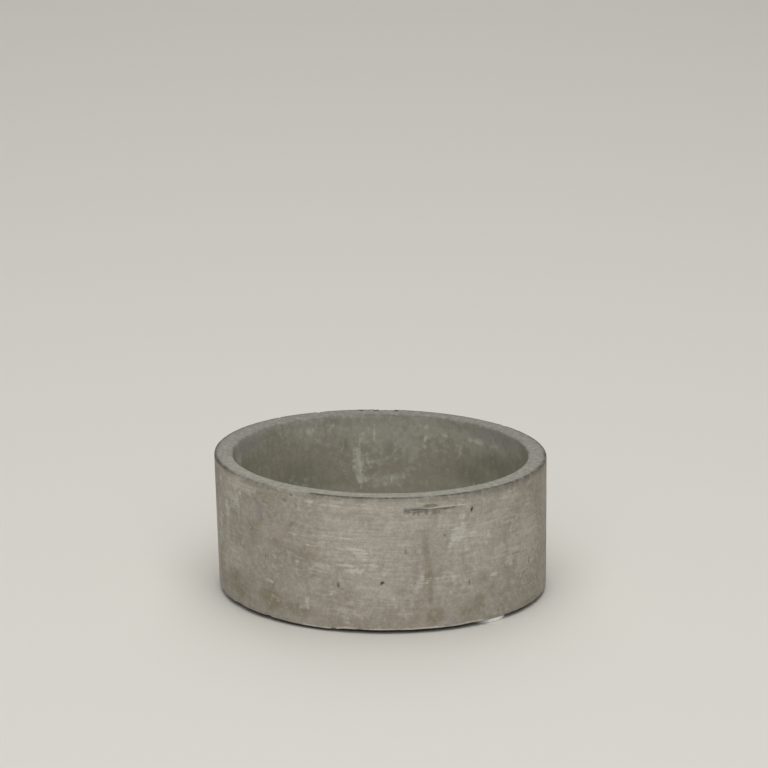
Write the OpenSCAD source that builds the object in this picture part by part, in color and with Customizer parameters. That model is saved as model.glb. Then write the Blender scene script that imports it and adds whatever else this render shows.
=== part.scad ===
// Low round planter, cast in fine concrete. It stands on three pale stick-on bumper pads,
// and a soft rubber plug closes the drain hole in the middle of its floor.
// The origin is on the ground under the middle of the pot, and +Z is up.

/* [Pot] */
// Outside diameter at the rim
pot_d = 180; // [140:1:260]
// Height of the casting, without its feet
pot_h = 72.5; // [45:0.5:120]
// How much smaller the outside radius is at the base, so that the casting leaves its mould
outside_draft = 1; // [0:0.1:6]
// Wall thickness at the rim
wall_t = 10; // [7:0.5:18]
// How much thicker the wall is where it meets the floor
inside_draft = 2.5; // [0.5:0.5:8]
// Floor thickness
floor_t = 14; // [10:0.5:22]
// Radius of the rim's outer edge
rim_edge_r = 1; // [0.5:0.25:3]
// Radius of the rim's inner edge
mouth_edge_r = 1.5; // [0.5:0.25:3]
// Radius of the base's outer edge
base_edge_r = 0.5; // [0.25:0.25:3]
// Radius of the hollow corner between the wall and the floor
floor_corner_r = 10; // [3:0.5:20]

/* [Drain hole and plug] */
// Diameter of the drain hole
drain_d = 14; // [10:0.5:20]
// Radius of the drain hole's edges
drain_edge_r = 1; // [0.25:0.25:2]
// Gap all round between the plug's sealing ribs and the hole
plug_gap = 0.08; // [0.02:0.01:0.1]
// How far the plug's head reaches over the floor, all round
plug_lap = 4; // [2.5:0.5:8]
// Thickness of the plug's head
plug_head_t = 2.5; // [1.5:0.25:5]
// Radius of the head's upper edge
head_edge_r = 0.75; // [0.25:0.25:1.25]
// How far the plug's stem reaches down into the hole
plug_stem_l = 8.5; // [6:0.5:9.5]
// How deep the necks between the sealing ribs are
plug_neck = 0.7; // [0.2:0.1:1.5]
// Height of each sealing rib
plug_rib_h = 1.6; // [1:0.1:2]
// Width of the plug's pull tab
tab_w = 12; // [9:0.5:18]
// Thickness of the pull tab
tab_t = 3; // [2:0.25:6]
// Diameter of the eye through the pull tab
eye_d = 4; // [2:0.5:6]
// How far the eye lies above the plug's head
eye_rise = 1; // [0.5:0.25:8]

/* [Feet] */
// Diameter of a bumper pad
pad_d = 25.4; // [8:0.1:40]
// Thickness of a bumper pad
pad_h = 2.25; // [1:0.05:5]
// Radius of a bumper pad's edges
pad_edge_r = 0.4; // [0.1:0.05:0.45]
// How far the adhesive disc above a pad stops short of the pad's side
tape_margin = 0.5; // [0.45:0.05:2]
// Thickness of the adhesive disc
tape_h = 0.15; // [0.1:0.05:0.5]
// Direction of the front right pad from the middle, in degrees from +X
front_pad_angle = -47; // [-90:1:0]
// How far the front right pad lies inside the base's edge
front_pad_inset = 0; // [0:0.25:20]
// How far the other pads lie inside the base's edge
other_pad_inset = 3; // [0:0.25:20]

/* [Hidden] */
$fn = 96;
arc_steps = 8; // straight steps in each rounded corner of an outline
cut = 1; // how far a cutting shape reaches past what it cuts
pad_count = 3;

base_z = pad_h + tape_h;
rim_z = base_z + pot_h;
floor_z = base_z + floor_t;
rim_r = pot_d / 2;
base_r = rim_r - outside_draft;
mouth_r = rim_r - wall_t;
floor_r = mouth_r - inside_draft;
drain_r = drain_d / 2;
rib_r = drain_r - plug_gap;
neck_r = rib_r - plug_neck;
head_r = drain_r + plug_lap;
stem_lead = plug_neck; // slope that leads the stem into the hole

function unit(v) = v / norm(v);

// The points of one rounded corner. The corner is at p, between the points a and b, and an arc
// of radius r touches both of its sides. A radius of 0 leaves the corner sharp.
function corner_arc(a, p, b, r) =
    r == 0 ? [p] :
    let (
        to_a = unit(a - p),
        to_b = unit(b - p),
        half = acos(to_a * to_b) / 2,
        centre = p + unit(to_a + to_b) * r / sin(half),
        from = p + to_a * r / tan(half) - centre,
        to = p + to_b * r / tan(half) - centre,
        start = atan2(from[1], from[0]),
        turn = atan2(from[0] * to[1] - from[1] * to[0], from * to)
    )
    [for (i = [0 : arc_steps])
        centre + r * [cos(start + turn * i / arc_steps), sin(start + turn * i / arc_steps)]];

// A closed outline from corners of the form [x, y, radius].
function rounded(corners) =
    let (n = len(corners), at = [for (c = corners) [c[0], c[1]]])
    [for (i = [0 : n - 1])
        each corner_arc(at[(i + n - 1) % n], at[i], at[(i + 1) % n], corners[i][2])];

// Half of the casting's section: floor, corner, wall and rim, with the drain hole at its left.
module pot_section() {
    polygon(rounded([
        [drain_r, base_z, drain_edge_r],
        [base_r, base_z, base_edge_r],
        [rim_r, rim_z, rim_edge_r],
        [mouth_r, rim_z, mouth_edge_r],
        [floor_r, floor_z, floor_corner_r],
        [drain_r, floor_z, drain_edge_r]
    ]));
}

module planter_body() {
    color("#928d82") rotate_extrude() pot_section();
}

// Half of the plug's section: a stem with two sealing ribs under a flat head.
module plug_section() {
    stem_z = floor_z - plug_stem_l;
    top_rib_z = floor_z - 2 * plug_rib_h;
    polygon(rounded([
        [0, stem_z, 0],
        [neck_r - stem_lead, stem_z, 0],
        [rib_r, stem_z + plug_rib_h, 0],
        [neck_r, stem_z + plug_rib_h, 0],
        [neck_r, top_rib_z, 0],
        [rib_r, top_rib_z + plug_rib_h, 0],
        [neck_r, top_rib_z + plug_rib_h, 0],
        [neck_r, floor_z, 0],
        [head_r, floor_z, 0],
        [head_r, floor_z + plug_head_t, head_edge_r],
        [0, floor_z + plug_head_t, 0]
    ]));
}

// The upright tab that fingers pull: straight sides and a half-round top, with a hole.
module pull_tab() {
    tab_r = tab_w / 2;
    eye_z = eye_rise + eye_d / 2;
    translate([0, tab_t / 2, floor_z + plug_head_t])
        rotate([90, 0, 0])
            linear_extrude(tab_t)
                difference() {
                    union() {
                        translate([-tab_r, -cut]) square([tab_w, eye_z + cut]);
                        translate([0, eye_z]) circle(tab_r);
                    }
                    translate([0, eye_z]) circle(d = eye_d);
                }
}

module drain_plug() {
    color("#2b2b2c") union() {
        rotate_extrude() plug_section();
        pull_tab();
    }
}

// Moves its children under pad i, counted from 0, at the front right and then every third of a turn.
module at_pad(i) {
    inset = i == 0 ? front_pad_inset : other_pad_inset;
    rotate(front_pad_angle + i * 360 / pad_count)
        translate([base_r - inset - pad_d / 2, 0])
            children();
}

module foot_pad(i) {
    color("#dcdcd8") at_pad(i) rotate_extrude()
        polygon(rounded([
            [0, 0, 0],
            [pad_d / 2, 0, pad_edge_r],
            [pad_d / 2, pad_h, pad_edge_r],
            [0, pad_h, 0]
        ]));
}

module pad_adhesive(i) {
    color("#c9c6bd") at_pad(i) translate([0, 0, pad_h]) cylinder(r = pad_d / 2 - tape_margin, h = tape_h);
}

planter_body();
drain_plug();
for (i = [0 : pad_count - 1]) {
    foot_pad(i);
    pad_adhesive(i);
}
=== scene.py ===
# %% [markdown]
# # A low round planter in cast concrete
# The planter is one casting of fine grey concrete. It stands on three milky bumper pads, each held by
# a disc of adhesive, and a rubber plug closes the drain hole in its floor.
# The frame holds the real sizes of these pieces. This script gives each piece its finished surface:
# new meshes that are worked out with numpy, and materials that are built from nodes.

# %% Load the frame
import math

import bpy
import numpy as np
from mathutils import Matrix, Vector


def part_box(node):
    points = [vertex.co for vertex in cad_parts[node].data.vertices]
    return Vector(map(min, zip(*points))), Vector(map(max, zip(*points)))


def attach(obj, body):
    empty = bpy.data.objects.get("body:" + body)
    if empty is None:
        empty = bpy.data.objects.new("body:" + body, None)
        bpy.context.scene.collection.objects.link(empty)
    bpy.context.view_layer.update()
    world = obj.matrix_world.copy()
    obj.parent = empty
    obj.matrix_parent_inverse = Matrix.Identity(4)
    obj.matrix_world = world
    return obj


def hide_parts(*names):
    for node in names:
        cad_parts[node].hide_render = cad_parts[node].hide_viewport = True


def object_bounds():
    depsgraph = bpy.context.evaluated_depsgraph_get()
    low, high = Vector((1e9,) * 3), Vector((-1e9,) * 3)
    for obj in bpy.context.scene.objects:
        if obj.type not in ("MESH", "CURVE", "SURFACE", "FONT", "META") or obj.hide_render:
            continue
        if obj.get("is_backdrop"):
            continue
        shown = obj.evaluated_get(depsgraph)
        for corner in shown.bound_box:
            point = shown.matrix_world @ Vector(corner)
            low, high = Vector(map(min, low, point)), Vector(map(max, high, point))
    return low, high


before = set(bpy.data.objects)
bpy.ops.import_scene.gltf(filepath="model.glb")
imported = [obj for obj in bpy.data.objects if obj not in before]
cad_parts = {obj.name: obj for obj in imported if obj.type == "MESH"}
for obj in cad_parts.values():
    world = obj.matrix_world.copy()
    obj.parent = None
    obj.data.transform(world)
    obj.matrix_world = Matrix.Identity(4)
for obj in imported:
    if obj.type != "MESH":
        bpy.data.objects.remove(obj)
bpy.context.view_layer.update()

print("frame nodes:", ", ".join(sorted(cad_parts)))

# %% [markdown]
# ## Helpers
# Real sizes are easiest to read in millimetres, while Blender's unit here is the metre, so one factor
# turns them. Colours are written as the hex values that a paint program shows. Shaders need linear
# light, so one function converts them with the sRGB curve.
# Meshes come from whole arrays of points, which is much faster than adding vertices one by one.

# %% Units, colours and mesh helpers
MM = 0.001


def linear(hex_colour):
    """sRGB hex to linear RGBA: c/12.92 near black, and ((c + 0.055)/1.055)^2.4 above it."""
    srgb = [int(hex_colour[i:i + 2], 16) / 255 for i in (1, 3, 5)]
    return [c / 12.92 if c <= 0.04045 else ((c + 0.055) / 1.055) ** 2.4 for c in srgb] + [1.0]


def ease(t):
    """The smooth step 3t^2 - 2t^3, with t first held between 0 and 1."""
    t = np.clip(t, 0, 1)
    return t * t * (3 - 2 * t)


def new_piece(name, points_mm, faces, body, slot_name, replaced):
    """Makes a mesh from an array of points in millimetres and lists of corners, shaded smooth, and
    tells the frame which body it rides on and which nodes it stands for. Its slot name is not used."""
    mesh = bpy.data.meshes.new(name)
    mesh.from_pydata((np.asarray(points_mm) * MM).tolist(), [], faces)
    mesh.polygons.foreach_set("use_smooth", [True] * len(mesh.polygons))
    mesh.update()
    piece = bpy.data.objects.new(name, mesh)
    bpy.context.scene.collection.objects.link(piece)
    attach(piece, body)
    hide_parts(replaced)
    print(f"{name}: {len(mesh.vertices)} vertices, {len(mesh.polygons)} faces")
    return piece


def wrapped_faces(columns, rows):
    """Corners of the quads on a grid that closes on itself both ways, like a ring's surface. Point
    (column, row) has the number row * columns + column."""
    column, row = np.meshgrid(np.arange(columns), np.arange(rows))
    across, up = (column + 1) % columns, (row + 1) % rows
    corners = [row * columns + column, row * columns + across, up * columns + across, up * columns + column]
    return np.stack(corners, -1).reshape(-1, 4)


# %% [markdown]
# ## Camera
# The photograph looks down on the planter at about 15 degrees from two metres away. The lens is long,
# so the round rim stays an even ellipse. The camera is rolled by a third of a degree.

# %% Camera
PHOTO_SIDE = 768  # pixels, both ways
FOCAL_LENGTH = 4000  # pixels, from the way the base's ellipse differs from the rim's
CAMERA_PLACE = (0.87, -2088.4, 654.1)  # mm
CAMERA_DOWN = 14.53  # degrees below the horizon
CAMERA_ROLL = 0.32  # degrees

camera_data = bpy.data.cameras.new("photo_camera")
camera_data.sensor_width = 36
camera_data.lens = camera_data.sensor_width * FOCAL_LENGTH / PHOTO_SIDE
camera = bpy.data.objects.new("photo_camera", camera_data)
bpy.context.scene.collection.objects.link(camera)
camera.location = [c * MM for c in CAMERA_PLACE]
camera.rotation_euler = (math.radians(90 - CAMERA_DOWN), 0, 0)
camera.rotation_euler.rotate_axis("Z", math.radians(CAMERA_ROLL))
bpy.context.scene.camera = camera
print(f"camera: {camera_data.lens:.0f} mm lens, {CAMERA_DOWN} degrees down")

# %% [markdown]
# ## Floor and light
# The planter is shown on a plain pale sweep: a floor that curves up behind it into a backdrop.
# The light in the photograph is soft and has no hard shadow. It comes mostly from above the camera,
# because the side that faces it is as bright as the flat rim, and it falls off alike to left and right.
# A wide soft panel over the camera, one overhead and an even pale sky give that. A weaker panel behind
# the planter keeps its back and the far floor from going dull.

# %% Sweep
FLOOR_COLOUR, BACKDROP_COLOUR = "#dcd9d2", "#f0efec"
SWEEP_WIDTH = 6000  # mm
SWEEP_FRONT = -3000
SWEEP_BACK = 2600
SWEEP_RADIUS = 600
SWEEP_TOP = 2400


def sweep_points():
    """A profile in Y and Z, a floor, a quarter circle and an upright back, carried straight across in X.
    Returns the points and how many the profile has."""
    turn = np.linspace(0, math.pi / 2, 24)
    y = np.concatenate([[SWEEP_FRONT], SWEEP_BACK + SWEEP_RADIUS * np.sin(turn), [SWEEP_BACK + SWEEP_RADIUS]])
    z = np.concatenate([[0], SWEEP_RADIUS * (1 - np.cos(turn)), [SWEEP_TOP]])
    sides = [np.stack([np.full_like(y, side * SWEEP_WIDTH / 2), y, z], -1) for side in (-1, 1)]
    return np.concatenate(sides), len(y)


points, rows = sweep_points()
sweep_mesh = bpy.data.meshes.new("sweep")
sweep_faces = [(i, rows + i, rows + i + 1, i + 1) for i in range(rows - 1)]
sweep_mesh.from_pydata((points * MM).tolist(), [], sweep_faces)
sweep_mesh.polygons.foreach_set("use_smooth", [True] * (rows - 1))
sweep = bpy.data.objects.new("sweep", sweep_mesh)
bpy.context.scene.collection.objects.link(sweep)
sweep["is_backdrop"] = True
print(f"sweep: {SWEEP_WIDTH / 1000} m wide, backdrop {(SWEEP_BACK + SWEEP_RADIUS) / 1000} m behind")

# %% Lights
def soft_panel(name, place_mm, size_mm, watts):
    """A square area light that points at the planter's middle."""
    lamp_data = bpy.data.lights.new(name, "AREA")
    lamp_data.energy = watts
    lamp_data.size = size_mm * MM
    lamp = bpy.data.objects.new(name, lamp_data)
    bpy.context.scene.collection.objects.link(lamp)
    lamp.location = [c * MM for c in place_mm]
    aim = np.array([0, 0, 36.0]) - np.array(place_mm)
    flat = math.hypot(aim[0], aim[1])
    lamp.rotation_euler = (math.pi / 2 + math.atan2(aim[2], flat), 0, math.atan2(-aim[0], aim[1]))
    print(f"{name}: {watts} W, {size_mm / 1000} m wide")
    return lamp


soft_panel("front_panel", (0, -1600, 1800), 2400, 29.5)
soft_panel("top_panel", (0, 0, 2200), 2000, 17.5)
soft_panel("back_panel", (0, 2300, 2300), 2400, 20)

world = bpy.data.worlds.new("pale_sky")
bpy.context.scene.world = world
world.use_nodes = True
sky = world.node_tree.nodes["Background"]
sky.inputs["Color"].default_value = linear("#f4f2ee")
sky.inputs["Strength"].default_value = 0.245
bpy.context.scene.view_settings.view_transform = "Standard"

# %% [markdown]
# ## Nodes
# A material is a small network: patterns make numbers, numbers become colours, and one shader turns
# them into a surface. One function adds a node with its settings and its links, so that a material
# reads as a list of steps.

# %% Node helper
def start_material(name):
    """An empty node material. Returns it with its tree."""
    material = bpy.data.materials.new(name)
    material.use_nodes = True
    material.node_tree.nodes.clear()
    return material, material.node_tree


def node(tree, kind, settings=None, **inputs):
    """Adds a node. Settings are its own options. Each input is a number, a colour or another node's
    output, which is linked. A socket is named with underscores for spaces, or by s and its number."""
    made = tree.nodes.new("ShaderNode" + kind)
    for key, value in (settings or {}).items():
        setattr(made, key, value)
    for key, value in inputs.items():
        numbered = key[0] == "s" and key[1:].isdigit()
        socket = made.inputs[int(key[1:]) if numbered else key.replace("_", " ")]
        if isinstance(value, bpy.types.NodeSocket):
            tree.links.new(value, socket)
        else:
            socket.default_value = value
    return made


def dress(piece, material):
    """Puts one material on all of a piece."""
    piece.data.materials.clear()
    piece.data.materials.append(material)


print("node helper ready")

# %% Plain stage material
paper, tree = start_material("matt_backdrop_paper")
height = node(tree, "SeparateXYZ", Vector=node(tree, "TexCoord").outputs["Object"]).outputs["Z"]
share = node(tree, "MapRange", Value=height, From_Max=SWEEP_RADIUS * MM).outputs[0]
tone = node(tree, "Mix", {"data_type": "RGBA"}, s0=share, s6=linear(FLOOR_COLOUR), s7=linear(BACKDROP_COLOUR))
surface = node(tree, "BsdfPrincipled", Base_Color=tone.outputs[2], Roughness=0.9)
node(tree, "OutputMaterial", Surface=surface.outputs["BSDF"])
dress(sweep, paper)
print("backdrop paper on the sweep")

# %% [markdown]
# ## The casting
# The real pot was poured in a smooth mould, so it is a turned shape: one section carried around an
# axis. A Spin or Screw modifier would give a perfect lathe surface, but a casting isn't perfect. It
# has air holes, a gouge under the rim, small chips on its edges and a wall that waves by a tenth of a
# millimetre. So its surface is a grid: one direction runs around the pot, and the other runs once
# round the section, under the base, up the wall, over the rim, down inside, across the floor and
# through the drain hole. The grid closes on itself both ways, so there is no pole or seam.

# %% Section of the casting
pot_low, pot_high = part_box("planter_body")
RIM_R = round(pot_high.x / MM, 1)  # mm, outside radius at the rim
BASE_Z, RIM_Z = round(pot_low.z / MM, 1), round(pot_high.z / MM, 1)
OUTSIDE_DRAFT, INSIDE_DRAFT = 1, 2.5  # how far each side of the wall leans, to leave the mould
WALL_T, FLOOR_T = 10, 14
BASE_R = RIM_R - OUTSIDE_DRAFT
MOUTH_R = RIM_R - WALL_T  # inside radius at the rim
FLOOR_R = MOUTH_R - INSIDE_DRAFT  # inside radius at the floor
FLOOR_Z = BASE_Z + FLOOR_T
DRAIN_R = 7.0

# Corners of the section: radius, height, rounding, steps in the rounding, steps to the next corner.
SECTION = [
    (DRAIN_R, BASE_Z, 1.0, 3, 16),
    (BASE_R, BASE_Z, 0.5, 4, 62),
    (RIM_R, RIM_Z, 1.0, 6, 10),
    (MOUTH_R, RIM_Z, 1.5, 5, 22),
    (FLOOR_R, FLOOR_Z, 10.0, 8, 16),
    (DRAIN_R, FLOOR_Z, 1.0, 3, 4),
]
# The section's straight sides. Each has the number of the corner before it, plus 0.5.
UNDERSIDE, WALL, RIM, INSIDE, FLOOR = (i + 0.5 for i in range(5))


def corner_arc(before, corner, after, radius, steps):
    """An arc that touches both sides of a corner: with half the corner's angle h, its middle lies
    r / sin(h) from the corner, and its ends lie r / tan(h) along the sides."""
    sides = np.array([before, after], float) - corner
    sides /= np.linalg.norm(sides, axis=1)[:, None]
    half = math.acos(sides[0] @ sides[1]) / 2
    middle = corner + sides.sum(0) / np.linalg.norm(sides.sum(0)) * radius / math.sin(half)
    begin, end = corner + sides * radius / math.tan(half) - middle
    turn = math.atan2(begin[0] * end[1] - begin[1] * end[0], begin @ end)
    angle = math.atan2(begin[1], begin[0]) + turn * np.linspace(0, 1, steps + 1)
    return middle + radius * np.stack([np.cos(angle), np.sin(angle)], -1)


def section_points(finer=1):
    """The section as one closed line, with an arc in each corner. Also returns, for each point, the
    number of its corner, or the number plus 0.5 on the straight side after that corner."""
    corners = np.array([c[:2] for c in SECTION])
    arcs = [
        corner_arc(corners[i - 1], corners[i], corners[(i + 1) % len(corners)], radius, steps * finer)
        for i, (_, _, radius, steps, _) in enumerate(SECTION)
    ]
    line, part = [], []
    for i, arc in enumerate(arcs):
        share = np.linspace(0, 1, SECTION[i][4] * finer + 1)[1:-1, None]
        side = arc[-1] + (arcs[(i + 1) % len(arcs)][0] - arc[-1]) * share
        line += [arc, side]
        part += [np.full(len(arc), float(i)), np.full(len(side), i + 0.5)]
    return np.concatenate(line), np.concatenate(part)


section, _ = section_points()
ROWS = len(section)
COLUMNS = 624
print(f"section: {ROWS} rows; grid of {COLUMNS * ROWS} points, {2 * COLUMNS * ROWS} triangles")

# %% [markdown]
# ## Places on the casting
# A place on the surface has two coordinates: an angle from the front, positive to the right, and the
# run, which is how far it lies along the section. A height on the wall or a radius on the rim is
# looked up to get its run. Distances between places are taken in millimetres both ways, so that a
# round air hole stays round.

# %% Places on the surface
FINE = 16  # how much finer than the grid the section is cut for looking places up


def runs(line):
    """Distance along a closed line to each of its points, and the whole length as one more value."""
    return np.concatenate([[0], np.cumsum(np.linalg.norm(np.roll(line, -1, 0) - line, axis=1))])


fine_line, fine_part = section_points(FINE)
fine_run = runs(fine_line)
SECTION_LENGTH = fine_run[-1]
ahead = np.roll(fine_line, -1, 0) - np.roll(fine_line, 1, 0)
ahead /= np.linalg.norm(ahead, axis=1)[:, None]
# Radius, height and the two parts of the outward direction, which is the line's own direction turned
# a quarter turn to the right.
fine_table = np.column_stack([fine_line, ahead[:, 1], -ahead[:, 0]])
fine_table = np.vstack([fine_table, fine_table[:1]])


def run_at(part, value):
    """The run at a height on a wall, or at a radius on a level part."""
    near = np.flatnonzero(np.abs(fine_part - part) <= 0.5)
    level = fine_line[near, 0 if part in (RIM, FLOOR, UNDERSIDE) else 1]
    order = np.argsort(level)
    return float(np.interp(value, level[order], fine_run[near][order]))


def offset(angle, run, place):
    """How far each grid point lies from a place, around the pot and along the section, in mm."""
    turn = (angle - place[0] + 180) % 360 - 180
    radius = np.interp(place[1], fine_run, fine_table[:, 0])
    return np.radians(turn) * radius, run - place[1]


print(f"the section is {SECTION_LENGTH:.0f} mm round")

# %% [markdown]
# ## Marks
# The photograph shows a few marks that give the pot its character, and they are listed one by one: air
# holes, a gouge with a thin ridge above it, three notches and a shallow spall on the rim's far edge,
# and an uneven lower edge.
# The sides that it doesn't show get marks of the same kinds at random, with a fixed seed.

# %% Air holes, chips and the gouge
rng = np.random.default_rng(11)

# Surface, angle, height or radius, half width, half height and depth, all but the angle in mm.
AIR_HOLES = [
    (WALL, 32.3, 65.1, 0.6, 1.6, 1.1),
    (WALL, 0.2, 28.2, 0.95, 0.95, 1),
    (WALL, -14.8, 26.3, 0.6, 1.2, 0.25),
    (WALL, -31.3, 72.1, 1.1, 0.5, 0.4),
    (RIM, -172.7, 87.7, 1.4, 1.6, 1),
    (RIM, -178.2, 87.7, 1.5, 1.7, 1.2),
    (RIM, 174.3, 87.7, 1.4, 1.6, 1.1),
]
# Surface, how many, and the ranges of angles and of heights or radii.
for part, count, start, end, low, high in [
    (WALL, 20, 80, 280, 8, 66), (INSIDE, 10, -100, 100, 30, 68), (UNDERSIDE, 34, 0, 360, 14, 84),
]:
    for _ in range(count):
        size = rng.uniform(0.45, 0.95)
        AIR_HOLES.append((part, rng.uniform(start, end), rng.uniform(low, high), size,
                          size * rng.uniform(0.8, 1.5), size * 0.8))

# Edge, angle, half width around, half width along and depth.
CHIPS = [
    (RIM_R, -175.2, 0.9, 0.7, 0.5),
    (BASE_R, -43, 1.8, 1.2, 0.6),
    (BASE_R, -59.5, 4.5, 1.2, 0.5),
    (BASE_R, -17, 1.6, 0.9, 0.4),
    (BASE_R, -8, 2.8, 0.8, 0.35),
]
for edge, count in ((RIM_R, 5), (BASE_R, 16)):
    for _ in range(count):
        wide, high, deep = rng.uniform((0.8, 0.7, 0.3), (2.2, 1.3, 0.7))
        CHIPS.append((edge, rng.uniform(60, 300), wide, high, deep))

# The spall lies between two notches: surface, angle, radius, half width, half length and depth.
SPALL = (RIM, 177.9, 88.6, 4.8, 2.2, 0.35)

GOUGE_START, GOUGE_END = 7.3, 28.8  # degrees
GOUGE_Z = 67.8  # mm
GOUGE_WANDER = 0.12  # mm, how far its line strays up and down
GOUGE_DEPTHS = 0.4, 0.8  # mm, at its right and left end
RIDGE_START = 1.2  # degrees
RIDGE_HIGH, RIDGE_ABOVE, RIDGE_HALF = 0.4, 1.0, 0.34  # mm: its height, its place and its half width
print(f"{len(AIR_HOLES)} air holes, {len(CHIPS)} chips and one gouge")

# %% [markdown]
# ## Relief
# The surface waves a little, because the mould's lining did. Value noise gives that: random numbers on
# the corners of a lattice of cubes, blended smoothly inside each cube. The lattice numbers come from a
# seeded table, so every run gives the same pot.

# %% Value noise
def value_noise(points, cell, seed):
    """Smooth random values from -1 to 1. With t the place inside a cube of side cell, the eight corner
    values are blended by 3t^2 - 2t^3 along each axis."""
    table = np.random.default_rng(seed).uniform(-1, 1, 8192)
    low = np.floor(points / cell).astype(np.int64)
    blend = ease(points / cell - low)
    total = 0
    for corner in np.ndindex(2, 2, 2):
        key = ((low + corner) * (73856093, 19349663, 83492791)).sum(-1) % len(table)
        total = total + table[key] * np.where(corner, blend, 1 - blend).prod(-1)
    return total


print("value noise of the origin:", np.round(value_noise(np.zeros((1, 3)), 10, 1), 3))

# %% Grid drawn in towards the marks
DRAW = 0.62  # how much closer to a mark the points beside it come, as a share of their distance
HOLE_REACH, WIDE_REACH, CHIP_REACH = (6, 6), (9, 14), (6, 3.5)  # mm, around the pot and along the run
GOUGE_DRAW, GOUGE_REACH = 0.6, 5  # a share and mm


def hole_place(hole):
    """The angle and the run of an air hole."""
    return hole[1], run_at(hole[0], hole[2])


def chip_place(chip):
    """The angle and the run of a chip, which lies in the rounding of the rim's or the base's edge."""
    level = (RIM_Z - 0.3) if chip[0] == RIM_R else (BASE_Z + 0.4)
    return chip[1], run_at(WALL, level)


def drawn_in(angle, run, place, reach):
    """Slides the grid's points towards a place. With q a point's distance as a share of the reach, it
    moves towards the place by DRAW (1 - q^2)^2 of its distance, so that no two points pass each other."""
    around, along = offset(angle, run, place)
    share = np.minimum((around / reach[0]) ** 2 + (along / reach[1]) ** 2, 1)
    pull = DRAW * (1 - share) ** 2
    radius = np.interp(place[1], fine_run, fine_table[:, 0])
    return angle - np.degrees(around / radius) * pull, run - along * pull


row_run = runs(section)
row_run = row_run[:-1] * SECTION_LENGTH / row_run[-1]
angle, run = np.meshgrid(np.arange(COLUMNS) * 360 / COLUMNS - 180, row_run)
for hole in AIR_HOLES:
    if hole[0] in (INSIDE, UNDERSIDE):  # the rows lie further apart there, so they are drawn in twice
        angle, run = drawn_in(angle, run, hole_place(hole), WIDE_REACH)
    angle, run = drawn_in(angle, run, hole_place(hole), HOLE_REACH)
for chip in CHIPS:
    angle, run = drawn_in(angle, run, chip_place(chip), CHIP_REACH)


def beside_gouge(angle, run):
    """How far along the gouge a point lies, as a share, and how far above its line, in mm."""
    share = (angle - GOUGE_START) / (GOUGE_END - GOUGE_START)
    return share, run - run_at(WALL, GOUGE_Z) - GOUGE_WANDER * np.sin(share * 9)


share, above = beside_gouge(angle, run)
near = ease((share + 0.5) / 0.2) * ease((1.2 - share) / 0.15)
run = run - above * GOUGE_DRAW * near * (1 - np.minimum((above / GOUGE_REACH) ** 2, 1)) ** 2
radius, height, out_r, out_z = (np.interp(run % SECTION_LENGTH, fine_run, column) for column in fine_table.T)
turn = np.radians(angle)
plain = np.stack([radius * np.sin(turn), -radius * np.cos(turn), height], -1)
print(f"grid points lie {plain[..., 2].min():.2f} to {plain[..., 2].max():.2f} mm above the ground")

# %% Height of the relief
def hollow(angle, run, place, half_around, half_along, seed):
    """1 in a hollow's middle and 0 past its rim, by (1 - q^2)^0.7 with q the distance as a share of its
    half width, which two slow waves make uneven around it."""
    around, along = offset(angle, run, place)
    way = np.arctan2(along, around)
    uneven = 1 + 0.18 * np.sin(2 * way + seed) + 0.12 * np.sin(3 * way + 2.3 * seed)
    share = ((around / half_around) ** 2 + (along / half_along) ** 2) / uneven ** 2
    return np.clip(1 - share, 0, 1) ** 0.7


def on(part, soft=1.0):
    """1 on one straight part of the section and 0 off it, with a soft change at its ends, in mm."""
    near = fine_run[:-1][fine_part == part]
    return ease((run - near[0]) / soft + 0.5) * ease((near[-1] - run) / soft + 0.5)


def between(start, end, soft):
    """1 between two angles and 0 outside them, with a soft change inside both ends, in degrees."""
    return ease((angle - start) / soft) * ease((end - angle) / soft)


WAVES = [(0.16, 55), (0.07, 19), (0.025, 6)]  # mm, height and width
waves = sum(high * value_noise(plain, wide, i + 1) for i, (high, wide) in enumerate(WAVES))
# The level parts wave less, and not at all at the drain hole, where the plug seats.
away_from_drain = ease((radius - 12) / 8)
level = on(UNDERSIDE, 2) + on(FLOOR, 2)
lift = waves * (1 - level * (1 - 0.4 * away_from_drain)) * ease((radius - 8) / 6)
# Painted shade: the air holes, chips and gouge are darkened in colour.
painted_shade = np.zeros_like(run)
for i, hole in enumerate(AIR_HOLES):
    dent = hollow(angle, run, hole_place(hole), hole[3], hole[4], i)
    lift -= hole[5] * dent
    painted_shade = np.maximum(painted_shade, ease(dent * 1.6) * min(hole[5] * 1.2, 1))
for i, chip in enumerate(CHIPS):
    dent = hollow(angle, run, chip_place(chip), chip[2], chip[3], i + 0.5)
    lift -= chip[4] * dent * (0.85 + 0.3 * value_noise(plain, 0.9, 40 + i))
    painted_shade = np.maximum(painted_shade, 0.8 * dent if chip[0] == RIM_R else 0.15 * dent)

share, above = beside_gouge(angle, run)
broken = value_noise(plain, 3.2, 21)
scuffed = ease(share / 0.04) * ease((1.03 - share) / 0.2)
coarse = ease((0.75 - share) / 0.5)  # wider and deeper at its left end
groove = scuffed * np.exp(-(above / (0.45 + 0.3 * coarse + 0.15 * broken)) ** 2) * (0.8 + 0.4 * broken)
along_ridge = (angle - RIDGE_START) / (GOUGE_END - RIDGE_START)
ridge = ease((along_ridge - 0.3) / 0.3) * ease((1.1 - along_ridge) / 0.2)
ridge *= np.exp(-((above - RIDGE_ABOVE) / RIDGE_HALF) ** 2)
ridge *= 0.75 + 0.4 * value_noise(plain, 6, 22)
thin_end, thick_end = GOUGE_DEPTHS
lift += RIDGE_HIGH * ridge - (thin_end + (thick_end - thin_end) * coarse) * groove
painted_shade = np.maximum(painted_shade, np.clip(groove * (0.7 + 0.15 * coarse), 0, 1))

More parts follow.
